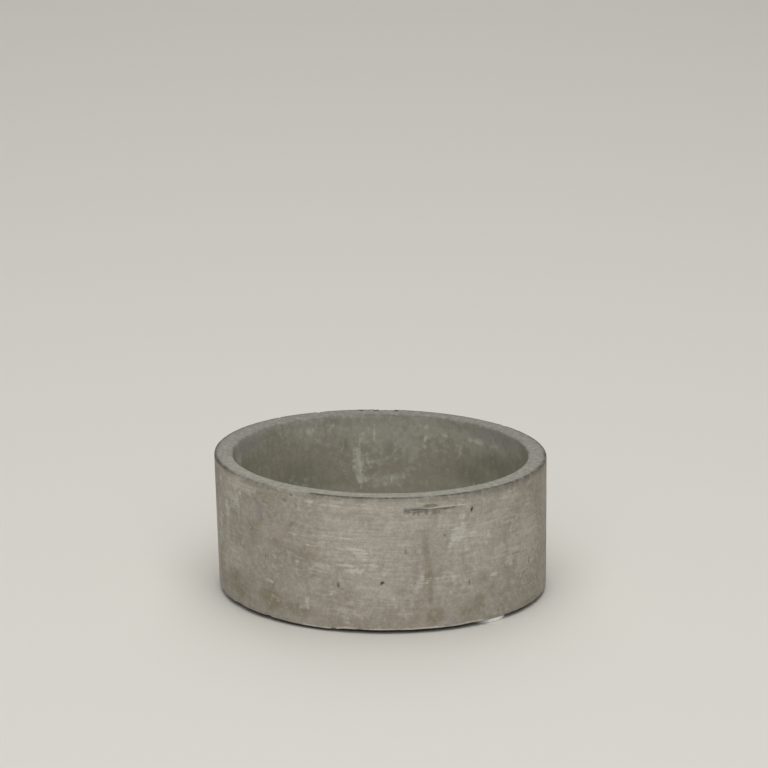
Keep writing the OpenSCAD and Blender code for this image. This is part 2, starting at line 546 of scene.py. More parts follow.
around, along = offset(angle, run, hole_place(SPALL))
spall = ease((SPALL[3] - np.abs(around)) / 1.2) * np.exp(-(along / SPALL[4]) ** 2)
lift -= SPALL[5] * spall * (0.8 + 0.4 * value_noise(plain, 2.5, 33))

# The rim's inner edge is rounder at the back left, and the base's edge is ragged all round.
SOFTENED, RAGGED = 0.45, 0.2  # mm
soft_edge = np.exp(-((run - run_at(RIM, MOUTH_R + 1)) / 1.8) ** 2) * between(-184, -60, 25)
ragged_edge = np.exp(-((run - run_at(WALL, BASE_Z + 0.5)) / 1.4) ** 2)
ragged_edge *= np.abs(value_noise(plain, 7, 31) + 0.6 * value_noise(plain, 2.2, 32))
lift -= SOFTENED * soft_edge + RAGGED * ragged_edge
print(f"relief: {lift.min():.2f} to {lift.max():.2f} mm")

# %% [markdown]
# A casting also comes out of its mould a little untrue. Measured on the photograph, the rim is half a
# millimetre lower at the right than at the left, the base sits 1.7 mm to the right of it, and the
# base's edge bulges down by 0.9 mm at the front left, where the mould wasn't scraped level.

# %% Casting mesh
RIM_DIP = 0.46  # mm, at the rim's right side
LEAN = 1.67  # mm, from base to rim
SAG, BULGE = 0.25, 0.65  # mm, at the base's edge
points = plain + lift[..., None] * np.stack([out_r * np.sin(turn), -out_r * np.cos(turn), out_z], -1)
up = (points[..., 2] - BASE_Z) / (RIM_Z - BASE_Z)
untrue = ease((radius - 20) / 50)
points[..., 2] -= RIM_DIP * points[..., 0] / RIM_R * up * untrue
points[..., 0] += LEAN * (0.5 - up) * untrue
sag = SAG * between(-50, 34, 10) + BULGE * ease((angle + 42) / 18) * ease((-12 - angle) / 6)
points[..., 2] -= sag * np.exp(-((run - run_at(WALL, BASE_Z + 0.5)) / 5) ** 2)

casting = new_piece("cast_pot", points.reshape(-1, 3), wrapped_faces(COLUMNS, ROWS).tolist(), "pot",
                    "cast_concrete", "planter_body")

# %% [markdown]
# ## Colour masks
# The finish differs from place to place: the rim was trowelled and is greener, the inside is darker,
# white bloom and dark water stains lie on the wall. Each is a soft mask that is stored on the mesh as
# an attribute, one number for each vertex, and the material breaks up its edges with noise. Some masks
# hold painted light: shade under the rim, in the hollows and under the base, and highlights on the ridge,
# the base's edge, the rim's inner edge and the wall's left edge.

# %% Masks on the casting
# White bloom, and one painted highlight along the wall's left edge. Each row is a surface, angle,
# height, half width, half height and strength; sizes in mm.
BLOOM_AND_GLINT = [
    (WALL, 27, 52.2, 3.6, 3.4, 1.9),
    (WALL, 28.6, 56, 2.2, 2.6, 1.3),
    (WALL, 31.6, 51.8, 4.2, 2.6, 1.2),
    (WALL, 29.8, 47.9, 3.2, 2.6, 0.9),
    (WALL, 24, 48.2, 2, 1.6, 0.8),
    (WALL, 39, 50.5, 1, 2.8, 1.6),
    (WALL, 27.9, 62, 3, 1.8, 1.1),
    (WALL, 26, 55.5, 6, 2.5, 0.8),
    (WALL, -26.4, 14.3, 2.2, 3.2, 0.8),
    (WALL, -11.5, 38.8, 1, 2.5, 0.8),
    (WALL, -7.2, 34.7, 2.5, 2, 0.6),
    (WALL, -6.2, 41.9, 3.2, 2.4, 1.1),
    (WALL, 13, 29.6, 2.4, 3.2, 0.9),
    (WALL, -5.2, 60, 3.5, 1.8, 0.7),
    (WALL, -20.5, 67.5, 3.5, 1.6, 0.6),
    (WALL, -66.5, 54, 5, 5, 0.9),
    (WALL, -44.2, 29, 0.8, 0.7, 1.2),
    (WALL, -63.7, 70, 2, 1.2, 1.4),
    (WALL, -59.3, 67.6, 2, 1.4, 1.4),
    (WALL, -55.9, 66.3, 1.6, 1.4, 1.3),
    (WALL, -58.2, 60.7, 2.4, 3.4, 1.1),
    (WALL, -71.7, 67.5, 3, 4, 1),
    # Painted highlight: the pale upright band at the wall's left edge.
    (WALL, -74, 46, 6, 20, 0.6),
    (WALL, 24.4, 31.8, 5, 3, 0.6),
    (WALL, 22.5, 21, 4, 3, 0.45),
    (INSIDE, -104.5, 65.5, 6, 6, 0.7),
    (INSIDE, -145.5, 70.2, 0.9, 0.9, 1),
    (INSIDE, -152, 67, 9, 2.5, 0.65),
    (INSIDE, -160.1, 68.5, 2, 1.6, 1),
    (INSIDE, -157.4, 66, 1, 1, 0.9),
    (INSIDE, -177.1, 63.2, 0.9, 7, 1),
    (INSIDE, -171, 59.3, 3, 5, 0.65),
    (INSIDE, -171.6, 46, 4.5, 13, 0.75),
    (INSIDE, 160.9, 68.4, 1.5, 0.9, 1.6),
    (INSIDE, 163.9, 68.7, 2, 0.6, 0.8),
    (INSIDE, 178.3, 35.2, 3.5, 0.8, 0.9),
    (INSIDE, 176.1, 37.1, 0.5, 3, 1.1),
    (INSIDE, 152.9, 65, 3, 2, 0.65),
    (INSIDE, 138.3, 65.4, 6, 1.8, 0.8),
    (INSIDE, 126.6, 65.8, 5, 1.5, 0.7),
    (INSIDE, 162, 61, 3, 4, 0.5),
    (INSIDE, -171.6, 39, 3, 5, 1.2),
]
# Dark water stains.
STAIN = [
    (WALL, 15.2, 48.6, 3.2, 9, 0.8),
    (WALL, 16.2, 33, 3.2, 8, 0.6),
    (WALL, 16.6, 20, 2, 7, 0.9),
    (WALL, 18, 9.5, 7, 4.5, 1.1),
    (WALL, 35.4, 14.2, 5, 5, 1),
    (WALL, -10.8, 20.5, 8, 2.2, 0.6),
    (WALL, 6.3, 24.5, 5, 4, 0.55),
    (WALL, 39.8, 18.5, 8, 7, 0.6),
    (WALL, -48.5, 46, 9, 15, 0.6),
    (WALL, -30.8, 56.6, 3.5, 2, 0.8),
    (WALL, -21.5, 56, 4, 3, 0.55),
    (WALL, -26.6, 42.2, 8, 6, 0.6),
    (WALL, 1, 11.5, 5, 3, 0.5),
    (WALL, -28, 10, 13, 5, 0.75),
    (WALL, -42, 12.5, 11, 8, 1),
    (WALL, -60, 14, 13, 9, 1.1),
    (WALL, -45.5, 55, 5, 5, 0.7),
    (WALL, -38, 45, 5, 4, 0.7),
    (WALL, 37, 26.5, 6, 5, 0.8),
    (WALL, 30, 10, 9, 5, 0.7),
    (WALL, 62, 53, 6, 5, 0.6),
    (WALL, 56.5, 11, 14, 8, 0.25),
    (INSIDE, -144, 44, 24, 10, 0.85),
    (INSIDE, -150, 37, 28, 5, 0.85),
    (INSIDE, 127, 55, 20, 8, 0.85),
    (INSIDE, 140, 46, 16, 8, 0.9),
    (INSIDE, -165, 57.4, 4, 5, 0.7),
    (INSIDE, 177, 55, 4, 7, 0.6),
]
# Places where the cement dried paler. Some of them also hold painted light: the wide patches at the front
# middle and along the top of the wall, and bright places at the top of the inside.
DRY_AND_LIT = [
    (WALL, -7, 51, 30, 17, 1),
    (WALL, 0, 69.5, 44, 4.5, 1),
    (WALL, -2, 24, 26, 14, 0.7),
    (WALL, -20, 35, 6, 5, 0.8),
    (WALL, 36, 36, 16, 22, 0.6),
    (WALL, 60, 42, 14, 24, 0.95),
    (WALL, 44, 38.5, 7, 5, 1.1),
    (WALL, -23, 25, 4, 4, 0.8),
    (WALL, -10.6, 33.4, 6, 3, 0.9),
    (WALL, 28, 50, 9, 9, 0.9),
    (WALL, 49, 66, 14, 5, 0.9),
    (WALL, -62, 64, 9, 8, 0.9),
    (WALL, -56, 70.5, 13, 4, 1.1),
    (WALL, -10, 11.8, 14, 4.5, 0.8),
    (WALL, 7.7, 12.3, 4, 4, 0.8),
    (WALL, 12, 24, 3, 4, 0.8),
    (WALL, 13, 60, 8, 5, 0.9),
    (WALL, 36, 53, 9, 9, 1),
    (WALL, 51, 40, 7, 9, 1),
    (WALL, 44.5, 60, 9, 5, 1.1),
    (WALL, -61, 29, 9, 9, 0.9),
    (WALL, -29, 46.5, 4, 2.5, 0.7),
    (WALL, 25, 31, 6, 4, 0.7),
    (WALL, -17, 61.5, 9, 3.5, 0.9),
    (WALL, 22, 60, 6, 5, 0.9),
    (WALL, 20, 26, 4, 6, 0.8),
    (WALL, -68, 24, 8, 9, 0.9),
    (WALL, -60, 58, 7, 7, 0.7),
    (WALL, -66, 44, 4, 22, 0.6),
    (WALL, 120, 40, 30, 22, 0.8),
    (WALL, 200, 46, 36, 20, 1),
    (WALL, 262, 30, 28, 22, 0.7),
    (INSIDE, -178, 66, 26, 16, 1),
    (INSIDE, -148, 68, 20, 7, 0.9),
    (INSIDE, 145, 66, 26, 7, 0.7),
    (INSIDE, -150, 63, 9, 5, 0.9),
    (INSIDE, -115, 68.5, 18, 7, 1),
    (INSIDE, 164, 72, 14, 4, 0.9),
    (INSIDE, 157, 58, 9, 6, 0.6),
    (INSIDE, 178, 37.5, 11, 5, 0.9),
    (INSIDE, 159, 68, 14, 8, 1),
    (INSIDE, 136, 60, 9, 5, 0.9),
    (INSIDE, 168, 60, 9, 14, 0.9),
    (INSIDE, 113, 69, 12, 6, 0.9),
    (INSIDE, -102, 65, 9, 9, 1.2),
    (INSIDE, 125, 62.5, 12, 6, 1),
]
# Smooth mauve places: cement paste that rose against the mould.
MAUVE = [
    (INSIDE, -114, 69, 18, 5, 0.9),
    (INSIDE, 128, 70, 24, 4, 1),
    (INSIDE, -160, 61.5, 3, 4, 0.6),
    (WALL, 24.3, 6.4, 3.6, 2, 1),
    (WALL, -46, 59, 6, 5, 0.8),
    (WALL, -70, 66, 3, 4, 0.6),
    (WALL, -8, 3.6, 4.5, 0.9, 0.9),
    (WALL, -17, 3.4, 2.2, 0.9, 0.9),
]
# Dark scuffs and scratches.
SCUFFS = [
    (WALL, 16.9, 70, 4.2, 1, 1.3),
    (WALL, 13.5, 66.7, 8, 0.8, 0.75),
    (WALL, 8.9, 66.8, 1.8, 0.9, 1.1),
    (WALL, 11.1, 65.9, 0.8, 1.4, 0.9),
    (WALL, 12.7, 65.6, 0.6, 1.5, 0.8),
    (WALL, 15.5, 66.2, 1, 1.3, 1.1),
    (WALL, 18.6, 66.2, 2.2, 1.1, 1.1),
    (WALL, 20.2, 66.2, 0.8, 1, 0.8),
    (WALL, 21.9, 53.1, 1.5, 1.7, 0.8),
    (WALL, 8.3, 45.3, 1.3, 2.2, 0.7),
    (WALL, 11.6, 45, 0.8, 1.6, 0.7),
    (WALL, -33.8, 68.9, 2.4, 1.1, 0.7),
    (WALL, -29.4, 67.8, 0.6, 2.2, 0.7),
    (WALL, 38.4, 51.9, 0.5, 2.2, 0.7),
    (WALL, 31.9, 30.8, 0.5, 1.9, 0.7),
    (WALL, 31.1, 25.3, 1, 2.3, 0.6),
    (WALL, -14.8, 26.3, 1, 2, 0.65),
    (WALL, -43.3, 34.8, 0.6, 1.8, 0.7),
    (WALL, 61.5, 28.1, 1.6, 4, 0.6),
    (WALL, -8.8, 24.2, 8.5, 0.4, 1),
]
# Pale level strokes from the rubbing.
STROKES = [
    (WALL, 1.6, 69.3, 6, 0.6, 1),
    (WALL, -6.7, 69.1, 9, 0.5, 0.9),
    (WALL, -16.9, 69.3, 10, 0.5, 0.7),
    (WALL, -24, 70.6, 6, 1, 0.55),
    (WALL, -29, 51.5, 9, 0.6, 1),
    (WALL, -10.3, 52.3, 7, 0.6, 0.8),
    (WALL, -5.9, 58.4, 6, 0.6, 0.7),
    (WALL, -9, 46.2, 9, 0.7, 1),
    (WALL, -6.5, 44.4, 6, 0.9, 0.9),
    (WALL, -3.8, 38.2, 5, 1.2, 0.8),
    (WALL, -24.2, 46.5, 5, 0.8, 0.75),
    (WALL, -47.3, 39.7, 3.5, 0.7, 0.65),
    (WALL, -41.1, 22, 7, 0.45, 0.6),
    (WALL, 41.6, 26.8, 6, 1, 0.8),
    (WALL, 26, 55.3, 4.5, 0.6, 1.2),
    (WALL, -9, 34.6, 7, 1.2, 0.9),
    (WALL, -12.5, 37.2, 6, 1, 0.9),
    (WALL, -23, 31.2, 5, 0.9, 0.55),
    (WALL, 28.2, 51.4, 3.4, 0.9, 1),
    (WALL, 27.4, 49.6, 2.2, 0.7, 0.9),
]
for part, low, high in ((WALL, 10, 64), (INSIDE, 26, 66)):
    for _ in range(9):
        wide, tall = rng.uniform((3, 2), (9, 9))
        at = rng.uniform(80, 280) + (0 if part == WALL else 180)
        BLOOM_AND_GLINT.append((part, at, rng.uniform(low, high), wide, tall, rng.uniform(0.4, 1)))
for _ in range(9):
    wide, tall = rng.uniform((3, 5), (12, 18))
    STAIN.append((WALL, rng.uniform(85, 275), rng.uniform(8, 50), wide, tall, rng.uniform(0.4, 1)))
for _ in range(14):
    at, level = rng.uniform((84, 8), (276, 68))
    SCUFFS.append((WALL, at, level, *rng.uniform((0.4, 0.6, 0.4), (2.5, 2.5, 0.9))))
    at, level = rng.uniform((84, 14), (276, 68))
    STROKES.append((WALL, at, level, *rng.uniform((4, 0.4, 0.4), (11, 1.0, 0.9))))


def patches(marks):
    """The strongest of some soft patches, each exp(-q^2) with q the distance as a share of its size."""
    most = np.zeros_like(run)
    for part, at, level, half_around, half_along, strength in marks:
        around, along = offset(angle, run, (at, run_at(part, level)))
        most = np.maximum(most, strength * np.exp(-(around / half_around) ** 2 - (along / half_along) ** 2))
    return most


def across(start, half):
    """exp(-q^2) across a line that runs round the pot, with q the distance from it as a share of half."""
    return np.exp(-((run - start) / half) ** 2)


# The rim's outer edge is a dark line. It is soft at the right, fades at the front left and is broken
# above the gouge. Painted shade darkens the wall just below it, and the inside below the rim at the back.
rim_outside, rim_inside = run_at(WALL, RIM_Z - 1), run_at(INSIDE, RIM_Z - 1)
base_edge = run_at(WALL, BASE_Z + 0.5)
worn = ease((angle + 42) / 5) * ease((-22 - angle) / 4)
fading = ease((angle + 72) / 30) * ease((-22 - angle) / 4)
line = np.clip(0.95 + 0.3 * value_noise(plain, 26, 51) + 0.15 * value_noise(plain, 5, 52), 0, 1)
line *= 1 - 0.6 * np.exp(-((angle - 17) / 3.5) ** 2)
at_sides, at_back = 1 - between(-80, 85, 30), 1 - between(-165, 165, 30)
soft_left = between(-85, -42, 10)
shade_under_rim_strength = 0.3 + 0.45 * between(26, 66, 8) + 0.1 * soft_left - 0.2 * worn
shade_under_rim = across(rim_outside - 0.8 + 1.6 * soft_left, 1.5) * shade_under_rim_strength
shade_under_rim += across(rim_inside + 3.0, 2.0) * 0.45 * at_back * (1 - 0.8 * between(152, 178, 8))
trowelled = ease((run - rim_outside - 0.6 - 0.8 * worn) / 0.8) * ease((rim_inside + 0.9 - run) / 1.2)
# The rim is paler at the front, where it is worn. On the left, a painted highlight pales it towards its inner
# edge.
pale_rim_and_glint = (0.5 + 0.5 * np.cos(turn)) ** 1.6 + 0.9 * soft_left * ease((run - rim_outside - 3) / 5)
soft_right = between(22, 110, 14)
arris = across(rim_outside + 1.0, 0.72 + 0.5 * at_sides + 0.2 * soft_right) * line
arris *= (1 - 0.4 * fading) * (1 - 0.2 * worn) * (1 - 0.15 * soft_right)
# Painted highlight: a pale line just above the base's edge at the front.
base_edge_highlight = across(base_edge + 0.2, 0.45) * between(-32, 42, 8)
base_edge_highlight *= np.clip(0.9 + 0.5 * value_noise(plain, 9, 53), 0, 1)
# Painted shade: the rounding of the base's edge and the underside next to it are made near black.
underside_shade = ease((base_edge - 0.3 - run) / 0.4) * ease((run - base_edge + 16) / 9)
mask_values = {
    "rim": trowelled,
    "pale_rim_and_glint": pale_rim_and_glint,
    "arris": arris,
    "shade_under_rim": shade_under_rim,
    "inside": ease((run - rim_inside) / 1.0) * ease((SECTION_LENGTH - run) / 4),
    "bloom_and_glint": patches(BLOOM_AND_GLINT),
    "stain": patches(STAIN),
    "dry": patches(DRY_AND_LIT),
    "mauve": patches(MAUVE),
    "scuff": patches(SCUFFS),
    # The ridge above the gouge is paler, partly rubbed and partly painted highlight, and the base's painted
    # highlight joins the strokes.
    "stroke": np.maximum(patches(STROKES), np.maximum(2.8 * ridge, 1.6 * base_edge_highlight)),
    "painted_shade": np.maximum(painted_shade, underside_shade),
}
for name, values in mask_values.items():
    mask = casting.data.attributes.new(name, "FLOAT", "POINT")
    mask.data.foreach_set("value", values.ravel().astype(np.float32))
print("masks:", ", ".join(mask_values))

# %% [markdown]
# ## Cast concrete
# The real finish is fine-aggregate concrete, cast against a smooth mould and rubbed down by hand. It is
# matt, so its roughness is near 0.85, and its IOR is about 1.5, as stone's. What the eye meets is not
# gloss but pattern: clouds of damp and dry cement 30 mm wide, mottling of 9 mm, faint level strokes
# from the rubbing, water marks that ran down inside, white specks and pinholes. Sand grains are
# 0.3 mm, too fine to show at the picture's scale, so the grain is drawn at 0.9 mm.

# %% Concrete material
def cast_concrete():
    """Concrete built up as colour layers from wide to fine, and a bump from the finest of them."""
    material, tree = start_material("fine_cast_concrete")
    place = node(tree, "TexCoord").outputs["Object"]
    masks = {name: node(tree, "Attribute", {"attribute_name": name}).outputs["Fac"] for name in mask_values}
    smooth = {"interpolation_type": "SMOOTHSTEP"}

    def pattern(size_mm, detail=2.0, rough=0.5, stretch=(1, 1, 1), seed=0.0, tilt=0.0):
        """Fractal noise whose widest features are size_mm across, stretched along axes that are tilted
        in the plane of the front."""
        tilted = node(tree, "VectorRotate", {"rotation_type": "Y_AXIS"}, Vector=place, Angle=tilt)
        shifted = node(tree, "Mapping", Vector=tilted.outputs[0], Location=(seed, seed * 1.7, seed * 0.6),
                       Scale=[1000 / size_mm / s for s in stretch])
        return node(tree, "TexNoise", Vector=shifted.outputs[0], Scale=1.0, Detail=detail,
                    Roughness=rough).outputs["Fac"]

    def total(*parts, start=0.0):
        """Adds some patterns, each times its weight, to a starting number."""
        for part, weight in parts:
            start = node(tree, "Math", {"operation": "MULTIPLY_ADD"}, s0=part, s1=weight, s2=start).outputs[0]
        return start

    def layered(base, *layers):
        """Lays colours over a base in turn. A layer is a colour and its share of the surface. If a low, a
        high and a strength follow, the share is the strength times 3t^2 - 2t^3 instead, with t going from
        0 to 1 as the pattern goes from low to high."""
        for colour, share, *ramp in layers:
            if ramp:
                low, high, strength = ramp
                share = node(tree, "MapRange", smooth, Value=share, From_Min=low, From_Max=high,
                             To_Max=strength).outputs[0]
            base, colour = (linear(c) if isinstance(c, str) else c for c in (base, colour))
            base = node(tree, "Mix", {"data_type": "RGBA"}, s0=share, s6=base, s7=colour).outputs[2]
        return base

    cloud = pattern(30, 3, 0.5, seed=1)
    mottle = pattern(9, 3, 0.5, seed=2)
    strokes = pattern(28, 3, 0.6, stretch=(1, 1, 0.07), seed=3)
    hairs = pattern(12, 3, 0.6, stretch=(1, 1, 0.09), seed=6, tilt=-0.06)
    drips = pattern(3, 3, 0.6, stretch=(1, 1, 6), seed=7)
    grain = pattern(0.9, 2, 0.7, seed=4)
    fleck = pattern(3, 3, 0.6, seed=5)
    inside = masks["inside"]

    # What tears the masks' edges: flecks and level strokes outside, and drips that ran down inside.
    tear_out = total((fleck, 0.3), (hairs, 0.3), (mottle, 0.4))
    tear_in = total((fleck, 0.36), (mottle, 0.36), (drips, 0.28))
    tear = node(tree, "Mix", s0=inside, s2=tear_out, s3=tear_in).outputs[0]
    streaks = node(tree, "Mix", s0=inside, s2=hairs, s3=drips).outputs[0]

    def torn(name, ragged):
        """A stored mask, moved up or down by up to twice its raggedness, so that its edge is torn."""
        return total((masks[name], 1.0), (tear, 4 * ragged), start=-2 * ragged)

    # Shares that several layers use, or that change a layer's strength from place to place.
    # The dry share is paler cement, and painted light in some places.
    dry = node(tree, "MapRange", smooth, Value=torn("dry", 0.6), From_Min=0.1, From_Max=0.9).outputs[0]
    streaky = node(tree, "MapRange", smooth, Value=streaks, From_Min=0.36, From_Max=0.6, To_Min=0.527,
                   To_Max=0.85).outputs[0]
    sandy = node(tree, "MapRange", smooth, Value=inside, To_Min=1.0, To_Max=0.6).outputs[0]

    outer = layered(
        "#ada69a",
        ("#a19a8b", cloud, 0.38, 0.64, 1.0),
        ("#8d8676", mottle, 0.44, 0.7, 0.32),
        ("#bdb7ab", total((dry, 0.65))),
        ("#cdc7bb", strokes, 0.46, 0.7, total((dry, 0.32), start=0.08)),
        ("#d3cdc1", hairs, 0.5, 0.75, total((dry, 0.36), start=0.06)),
        ("#878069", strokes, 0.47, 0.28, 0.22),
        ("#8a8370", hairs, 0.46, 0.28, 0.16),
    )
    inner = layered(
        "#959181",
        ("#a7a598", dry),
        ("#7d7966", drips, 0.48, 0.72, 0.14),
        ("#b3b0a2", mottle, 0.52, 0.7, 0.12),
    )
    damp = layered("#878069", ("#7d796b", inside))
    trowelled = layered("#7c7b71", ("#908e81", masks["pale_rim_and_glint"]), ("#a3a196", mottle, 0.48, 0.7, 0.14))

    # From the bottom up: the inside, stains, strokes with painted highlights, bloom with a painted highlight,
    # mauve paste, the rim, painted shade below its edges, scuffs, its dark outer edge, painted shade in the
    # holes and under the base, and last the pale flecks and dark grains of sand.
    colour = layered(
        outer,
        (inner, total((inside, 0.85))),
        (damp, torn("stain", 0.6), 0.2, 0.8, 0.6),
        ("#d6d0c4", torn("stroke", 0.7), 0.28, 0.7, 0.75),
        ("#cbc9be", torn("bloom_and_glint", 1.0), 0.25, 0.9, streaky),
        ("#a09b97", torn("mauve", 0.5), 0.15, 0.8, 0.75),
        (trowelled, total((masks["rim"], 0.9))),
        ("#77756a", total((masks["shade_under_rim"], 0.7))),
        ("#655e50", torn("scuff", 0.5), 0.25, 0.65, 0.7),
        ("#40382a", total((masks["arris"], 0.95))),
        ("#26231e", total((masks["painted_shade"], 0.9))),
        ("#ffffff", fleck, 0.38, 0.75, total((sandy, 0.13))),
        ("#000000", grain, 0.3, 0.7, total((sandy, 0.18))),
    )

    rough = node(tree, "MapRange", smooth, Value=mottle, From_Min=0.3, From_Max=0.7, To_Min=0.78,
                 To_Max=0.92).outputs[0]
    height = total((fleck, 1.0), (grain, 1.0))
    bump = node(tree, "Bump", Strength=0.35, Distance=0.0002, Height=height).outputs[0]
    surface = node(tree, "BsdfPrincipled", Base_Color=colour, Roughness=rough, IOR=1.5, Normal=bump)
    node(tree, "OutputMaterial", Surface=surface.outputs["BSDF"])
    return material


dress(casting, cast_concrete())
print("concrete on the casting")

# %% [markdown]
# ## Turned pieces
# The pads, their adhesive and the plug are round too, but they are solid in the middle. Their profile
# starts and ends on the axis, so the surface closes there in a ring of triangles around one point.

# %% Turned surfaces
def profile(corners, longest=0.8, steps=5):
    """A line from corner to corner with an arc in each inner corner. Each corner is a radius, a height
    and a rounding. The straight sides are cut into pieces no longer than the longest step."""
    places = [np.array(c[:2], float) for c in corners]
    arcs = [corner_arc(places[i - 1], places[i], places[i + 1], corners[i][2], steps)
            for i in range(1, len(corners) - 1)]
    arcs = [places[0][None], *arcs, places[-1][None]]
    line = [arcs[0]]
    for last, arc in zip(arcs, arcs[1:]):
        cuts = max(int(np.linalg.norm(arc[0] - last[-1]) / longest), 1)
        line += [last[-1] + (arc[0] - last[-1]) * np.linspace(0, 1, cuts + 1)[1:-1, None], arc]
    return np.concatenate(line)


def turned(line, columns, centre=(0, 0), waver=None):
    """Carries a profile that starts and ends on the axis around it, upwards along its outside. Its two
    ends are single points. Waver is a function of the turn that scales the radius."""
    turn = np.arange(columns) * math.tau / columns
    radius = line[1:-1, 0, None] * (1 if waver is None else waver(turn))
    rings = np.stack(np.broadcast_arrays(
        centre[0] + radius * np.cos(turn), centre[1] + radius * np.sin(turn), line[1:-1, 1, None]), -1)
    ends = [(*centre, line[i, 1]) for i in (0, -1)]
    points = np.concatenate([rings.reshape(-1, 3), ends])
    column = np.arange(columns)
    after, last, first_end = (column + 1) % columns, (len(line) - 3) * columns, len(points) - 2
    row = np.arange(len(line) - 3)[:, None] * columns
    quads = np.stack([row + column, row + after, row + columns + after, row + columns + column], -1)
    fans = [np.stack([after, column, np.full(columns, first_end)], -1),
            np.stack([last + column, last + after, np.full(columns, first_end + 1)], -1)]
    return points, quads.reshape(-1, 4).tolist() + fans[0].tolist() + fans[1].tolist()


print("turned surfaces ready")

# %% [markdown]
# ## Pads and adhesive
# The feet are stick-on bumper pads, cast in milky soft polyurethane. Their side is a little fuller in
# the middle, where the pot's weight presses them, and their underside has a shallow dish. A disc of
# acrylic adhesive lies between each pad and the casting. It was cut by a worn die, so that it isn't
# quite round. The pads and discs go with the casting's base, which sits to the right of the rim.

# %% Pads
PAD_COLUMNS = 96
PAD_DISH, PAD_RING = 0.1, 2.6  # mm, depth of the dish and width of the ring around it
for number in (1, 2, 3):
    low, high = (np.array(corner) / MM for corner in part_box(f"foot_pad_{number}"))
    middle = (low + high)[:2] / 2 + (LEAN / 2, 0)
    radius = (high - low)[0] / 2
    pad_line = profile([
        (0, PAD_DISH, 0), (radius - PAD_RING - 0.8, PAD_DISH, 1.5), (radius - PAD_RING, 0, 1.0),
        (radius - 0.1, 0, 0.35), (radius, high[2] / 2, 1.2), (radius - 0.15, high[2], 0.3), (0, high[2], 0),
    ], 0.7)
    new_piece(f"soft_pad_{number}", *turned(pad_line, PAD_COLUMNS, middle), "pot", "pad_polyurethane",
              f"foot_pad_{number}")
    low, high = (np.array(corner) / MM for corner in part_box(f"pad_adhesive_{number}"))
    radius = (high - low)[0] / 2
    disc_line = profile([
        (0, low[2], 0), (radius, low[2], 0.05), (radius, high[2], 0.05), (0, high[2], 0),
    ], 1.5, 2)
    new_piece(f"adhesive_disc_{number}", *turned(disc_line, PAD_COLUMNS, middle, lambda turn: (
        1 + 0.008 * np.sin(3 * turn + number) + 0.005 * np.sin(8 * turn + 2 * number))),
        "pot", "pad_adhesive", f"pad_adhesive_{number}")

# %% [markdown]
# ## Milky polyurethane and adhesive
# Soft polyurethane lets light in and scatters it, so that the pads look white and shine a little. A
# glass shader with a cloudy volume would be slow and noisy. Scattering just under the surface gives the
# same milk. The adhesive is an acrylic film, and the air that it traps shows as paler spots.

# %% Pad and adhesive materials
def milky_polyurethane():
    """Soft milky polyurethane: light scatters inside it, so that it looks white where light falls on
    it. Its IOR is 1.5, and a cloud of 3 mm keeps it from looking painted."""
    material, tree = start_material("milky_soft_polyurethane")
    place = node(tree, "TexCoord").outputs["Object"]
    cloud = node(tree, "TexNoise", Vector=place, Scale=1000 / 3, Detail=2.0).outputs["Fac"]
    rough = node(tree, "MapRange", Value=cloud, From_Min=0.3, From_Max=0.7, To_Min=0.18,
                 To_Max=0.32).outputs[0]
    shades = {"s6": linear("#fcfbf8"), "s7": linear("#f2f1ed")}
    tint = node(tree, "Mix", {"data_type": "RGBA"}, s0=cloud, **shades).outputs[2]
    surface = node(tree, "BsdfPrincipled", Base_Color=tint, Roughness=rough, IOR=1.5,
                   Subsurface_Weight=0.3, Subsurface_Scale=0.002, Subsurface_Radius=(1, 1, 1))
    node(tree, "OutputMaterial", Surface=surface.outputs["BSDF"])
    return material


def acrylic_adhesive():
    """A film of acrylic glue: milky, a little yellow, with trapped air as paler spots 0.8 mm wide."""
    material, tree = start_material("acrylic_adhesive_film")
    place = node(tree, "TexCoord").outputs["Object"]
    air = node(tree, "TexVoronoi", Vector=place, Scale=1000 / 1.6).outputs["Distance"]
    spots = node(tree, "MapRange", Value=air, From_Min=0.15, From_Max=0.3).outputs[0]
    shades = {"s6": linear("#dad8cf"), "s7": linear("#b3b0a4")}
    tint = node(tree, "Mix", {"data_type": "RGBA"}, s0=spots, **shades).outputs[2]
    surface = node(tree, "BsdfPrincipled", Base_Color=tint, Roughness=0.4, IOR=1.47)
    node(tree, "OutputMaterial", Surface=surface.outputs["BSDF"])
    return material


finishes = {"soft_pad": milky_polyurethane(), "adhesive_disc": acrylic_adhesive()}
for name, finish in finishes.items():
    for number in (1, 2, 3):
        dress(bpy.data.objects[f"{name}_{number}"], finish)
print("pads and adhesive dressed")

# %% [markdown]
# ## Drain plug
# The plug is one moulding in black rubber: a stem with two sealing ribs, a flat head that lies on the
# floor, and an upright tab with an eye to pull it by. The stem and head are turned. The tab isn't
# round, but it goes round its eye: its section, a rounded bar, is carried around the eye, and grows
# from there out to the tab's outline. Its foot swells where it meets the head.

